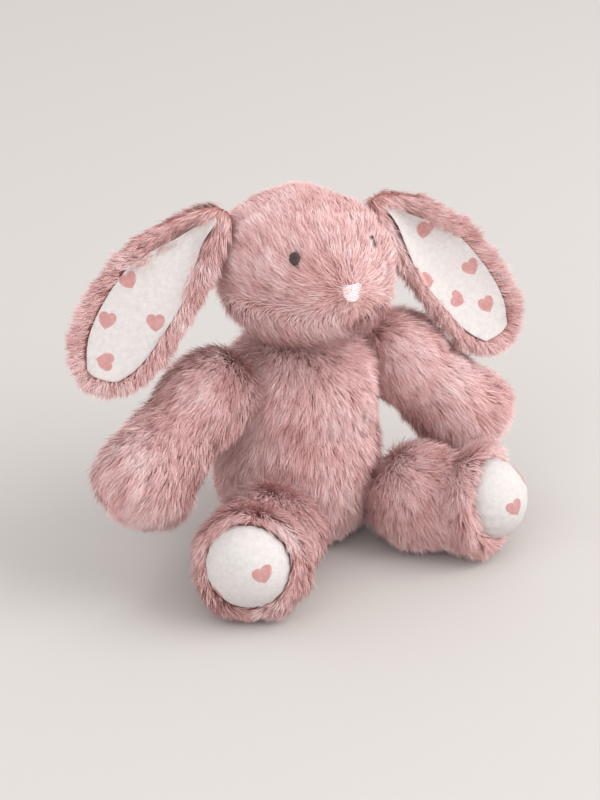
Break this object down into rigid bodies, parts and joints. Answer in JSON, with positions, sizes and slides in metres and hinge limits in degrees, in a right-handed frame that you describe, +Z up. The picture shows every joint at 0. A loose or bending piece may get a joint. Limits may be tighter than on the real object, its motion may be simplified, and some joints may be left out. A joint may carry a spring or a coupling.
{
  "type": "stuffed bunny rabbit",
  "caption": "Seated plush bunny with long lop ears, soft floppy arms and legs, fur body panels, printed velour ear linings and foot pads, and stitched eyes and nose.",
  "frame": {"origin": "middle of the flat seat, on the surface that the toy sits on", "axes": "+Z up, -Y the way that the toy faces, +X to its left side"},
  "size_m": [0.2336, 0.1604, 0.1835],
  "materials": {
    "rose_fur": "long soft dusty-rose plush pile, combed, with paler tips",
    "printed_velour": "short white velour printed with small dusty-rose hearts",
    "eye_thread": "dark brown embroidery thread in satin stitch",
    "nose_thread": "pale pink embroidery thread in satin stitch",
    "sewing_thread": "matt polyester sewing thread",
    "fibre_fill": "loose white polyester fibre",
    "pellet_fill": "plain cotton bag filled with small plastic pellets",
    "label_satin": "blank white woven satin"
  },
  "bodies": {
    "torso": {"belly_panel": "rose_fur", "back_left_panel": "rose_fur", "back_right_panel": "rose_fur", "seat_panel": "rose_fur", "torso_stuffing": "fibre_fill", "pellet_bag": "pellet_fill", "closing_stitches": "sewing_thread", "care_label": "label_satin"},
    "neck": {"neck_tie": "sewing_thread"},
    "head": {"head_gusset": "rose_fur", "head_left_panel": "rose_fur", "head_right_panel": "rose_fur", "head_stuffing": "fibre_fill", "left_eye": "eye_thread", "right_eye": "eye_thread", "nose": "nose_thread", "mouth_stitch": "nose_thread"},
    "tail": {"tail_cover": "rose_fur", "tail_stuffing": "fibre_fill"},
    "left_ear": {"left_ear_back": "rose_fur", "left_ear_lining": "printed_velour"},
    "left_shoulder": {"left_arm_tie": "sewing_thread"},
    "left_arm": {"left_arm_front_panel": "rose_fur", "left_arm_back_panel": "rose_fur", "left_arm_stuffing": "fibre_fill"},
    "left_hip": {"left_leg_tie": "sewing_thread"},
    "left_leg": {"left_leg_top_panel": "rose_fur", "left_leg_under_panel": "rose_fur", "left_leg_stuffing": "fibre_fill", "left_foot_pad": "printed_velour"},
    "right_ear": {"right_ear_back": "rose_fur", "right_ear_lining": "printed_velour"},
    "right_shoulder": {"right_arm_tie": "sewing_thread"},
    "right_arm": {"right_arm_front_panel": "rose_fur", "right_arm_back_panel": "rose_fur", "right_arm_stuffing": "fibre_fill"},
    "right_hip": {"right_leg_tie": "sewing_thread"},
    "right_leg": {"right_leg_top_panel": "rose_fur", "right_leg_under_panel": "rose_fur", "right_leg_stuffing": "fibre_fill", "right_foot_pad": "printed_velour"}
  },
  "joints": [
    {"name": "head_turn", "type": "hinge", "parent": "torso", "child": "neck", "pos_m": [0, 0, 0.09], "axis": [0, 0, 1], "range_deg": [-45, 45]},
    {"name": "head_nod", "type": "hinge", "parent": "neck", "child": "head", "pos_m": [0, 0, 0.09], "axis": [-1, 0, 0], "range_deg": [-14, 18]},
    {"name": "left_ear_lift", "type": "hinge", "parent": "head", "child": "left_ear", "pos_m": [0.04713, 0.0034, 0.1641], "axis": [0, -1, 0], "range_deg": [-5, 75]},
    {"name": "left_arm_lift", "type": "hinge", "parent": "torso", "child": "left_shoulder", "pos_m": [0.04879, -0.00686, 0.091], "axis": [0, -1, 0], "range_deg": [-4, 8]},
    {"name": "left_arm_swing", "type": "hinge", "parent": "left_shoulder", "child": "left_arm", "pos_m": [0.04879, -0.00686, 0.091], "axis": [1, 0, 0], "range_deg": [-4, 48]},
    {"name": "left_leg_lift", "type": "hinge", "parent": "torso", "child": "left_hip", "pos_m": [0.04076, -0.03936, 0.024], "axis": [-0.6947, -0.7193, 0], "range_deg": [-30, 30]},
    {"name": "left_leg_spread", "type": "hinge", "parent": "left_hip", "child": "left_leg", "pos_m": [0.04076, -0.03936, 0.024], "axis": [0, 0, 1], "range_deg": [-25, 4]},
    {"name": "right_ear_lift", "type": "hinge", "parent": "head", "child": "right_ear", "pos_m": [-0.04181, 0.00316, 0.17271], "axis": [0, 1, 0], "range_deg": [-8, 68]},
    {"name": "right_arm_lift", "type": "hinge", "parent": "torso", "child": "right_shoulder", "pos_m": [-0.04879, -0.00686, 0.091], "axis": [0, 1, 0], "range_deg": [-12, 14]},
    {"name": "right_arm_swing", "type": "hinge", "parent": "right_shoulder", "child": "right_arm", "pos_m": [-0.04879, -0.00686, 0.091], "axis": [1, 0, 0], "range_deg": [-55, 50]},
    {"name": "right_leg_lift", "type": "hinge", "parent": "torso", "child": "right_hip", "pos_m": [-0.03926, -0.04066, 0.024], "axis": [-0.7193, 0.6947, 0], "range_deg": [-30, 30]},
    {"name": "right_leg_spread", "type": "hinge", "parent": "right_hip", "child": "right_leg", "pos_m": [-0.03926, -0.04066, 0.024], "axis": [0, 0, -1], "range_deg": [-25, 12]},
    {"name": "tail_wag", "type": "hinge", "parent": "torso", "child": "tail", "pos_m": [0, 0.04566, 0.024], "axis": [0, 0, 1], "range_deg": [-30, 30]}
  ]
}
